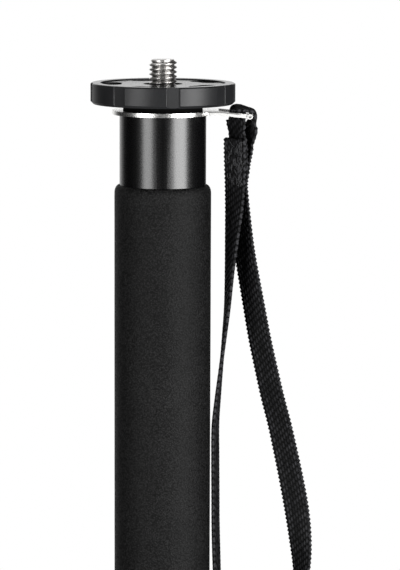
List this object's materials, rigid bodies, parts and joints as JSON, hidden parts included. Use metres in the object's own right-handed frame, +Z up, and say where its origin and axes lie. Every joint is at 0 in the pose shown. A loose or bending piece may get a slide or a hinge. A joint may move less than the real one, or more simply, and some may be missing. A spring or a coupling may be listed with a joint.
{
  "type": "camera monopod",
  "caption": "Telescoping camera monopod with a screw stud on a round platform, swivelling wrist strap, foam grip, flip locks and a rubber foot, folded.",
  "frame": {"origin": "on the stud's axis, in the plane of the platform's raised camera seat", "axes": "+Z up along the stud and the tubes, +X to the side that the strap bracket and the levers point to"},
  "size_m": [0.0779, 0.05, 0.5702],
  "materials": {
    "platform": "satin charcoal coat",
    "stud_steel": "turned steel",
    "screw_steel": "blackened steel",
    "pin_steel": "plain steel",
    "plated_steel": "bright plating",
    "webbing": "woven nylon webbing",
    "black_tube": "satin black anodised",
    "foam": "fine closed-cell foam",
    "bush_nylon": "natural nylon",
    "shoe_nylon": "natural nylon",
    "lock_plastic": "fine moulded texture",
    "lever_plastic": "satin moulded",
    "foot_plastic": "moulded",
    "foot_rubber": "moulded rubber"
  },
  "bodies": {
    "head": {"mounting_disc": "platform", "camera_stud": "stud_steel", "stud_set_screw": "screw_steel", "head_pin": "pin_steel", "upper_tube": "black_tube", "foam_grip": "foam", "lock_housing_1": "lock_plastic", "lever_pin_1": "pin_steel", "housing_screw_1": "pin_steel"},
    "strap_bracket": {"strap_bracket": "plated_steel", "wrist_strap": "webbing"},
    "section_2": {"tube_2": "black_tube", "guide_bush_2": "bush_nylon", "lock_housing_2": "lock_plastic", "lever_pin_2": "pin_steel", "housing_screw_2": "pin_steel"},
    "section_3": {"tube_3": "black_tube", "guide_bush_3": "bush_nylon", "lock_housing_3": "lock_plastic", "lever_pin_3": "pin_steel", "housing_screw_3": "pin_steel"},
    "section_4": {"tube_4": "black_tube", "guide_bush_4": "bush_nylon", "foot_plug": "foot_plastic", "rubber_foot": "foot_rubber"},
    "lever_1": {"lock_lever_1": "lever_plastic"},
    "shoe_1": {"brake_shoe_1": "shoe_nylon"},
    "lever_2": {"lock_lever_2": "lever_plastic"},
    "shoe_2": {"brake_shoe_2": "shoe_nylon"},
    "lever_3": {"lock_lever_3": "lever_plastic"},
    "shoe_3": {"brake_shoe_3": "shoe_nylon"}
  },
  "joints": [
    {"name": "bracket_swivel", "type": "hinge", "parent": "head", "child": "strap_bracket", "pos_m": [0, 0, -0.0101], "axis": [0, 0, 1], "continuous": true},
    {"name": "section_2_slide", "type": "slide", "parent": "head", "child": "section_2", "axis": [0, 0, -1], "range_m": [0, 0.335]},
    {"name": "section_3_slide", "type": "slide", "parent": "section_2", "child": "section_3", "axis": [0, 0, -1], "range_m": [0, 0.335]},
    {"name": "section_4_slide", "type": "slide", "parent": "section_3", "child": "section_4", "axis": [0, 0, -1], "range_m": [0, 0.335]},
    {"name": "lever_1_flip", "type": "hinge", "parent": "head", "child": "lever_1", "pos_m": [0.0206, 0, -0.4227], "axis": [0, -1, 0], "range_deg": [0, 110]},
    {"name": "shoe_1_slide", "type": "slide", "parent": "head", "child": "shoe_1", "axis": [1, 0, 0], "range_m": [0, 0.0006]},
    {"name": "lever_2_flip", "type": "hinge", "parent": "section_2", "child": "lever_2", "pos_m": [0.0186, 0, -0.4682], "axis": [0, -1, 0], "range_deg": [0, 110]},
    {"name": "shoe_2_slide", "type": "slide", "parent": "section_2", "child": "shoe_2", "axis": [1, 0, 0], "range_m": [0, 0.0006]},
    {"name": "lever_3_flip", "type": "hinge", "parent": "section_3", "child": "lever_3", "pos_m": [0.0166, 0, -0.5137], "axis": [0, -1, 0], "range_deg": [0, 110]},
    {"name": "shoe_3_slide", "type": "slide", "parent": "section_3", "child": "shoe_3", "axis": [1, 0, 0], "range_m": [0, 0.0006]}
  ],
  "couplings": [
    {"joint": "shoe_1_slide", "follows": "lever_1_flip", "m_per_rad": 0.000208},
    {"joint": "shoe_2_slide", "follows": "lever_2_flip", "m_per_rad": 0.000208},
    {"joint": "shoe_3_slide", "follows": "lever_3_flip", "m_per_rad": 0.000208}
  ]
}
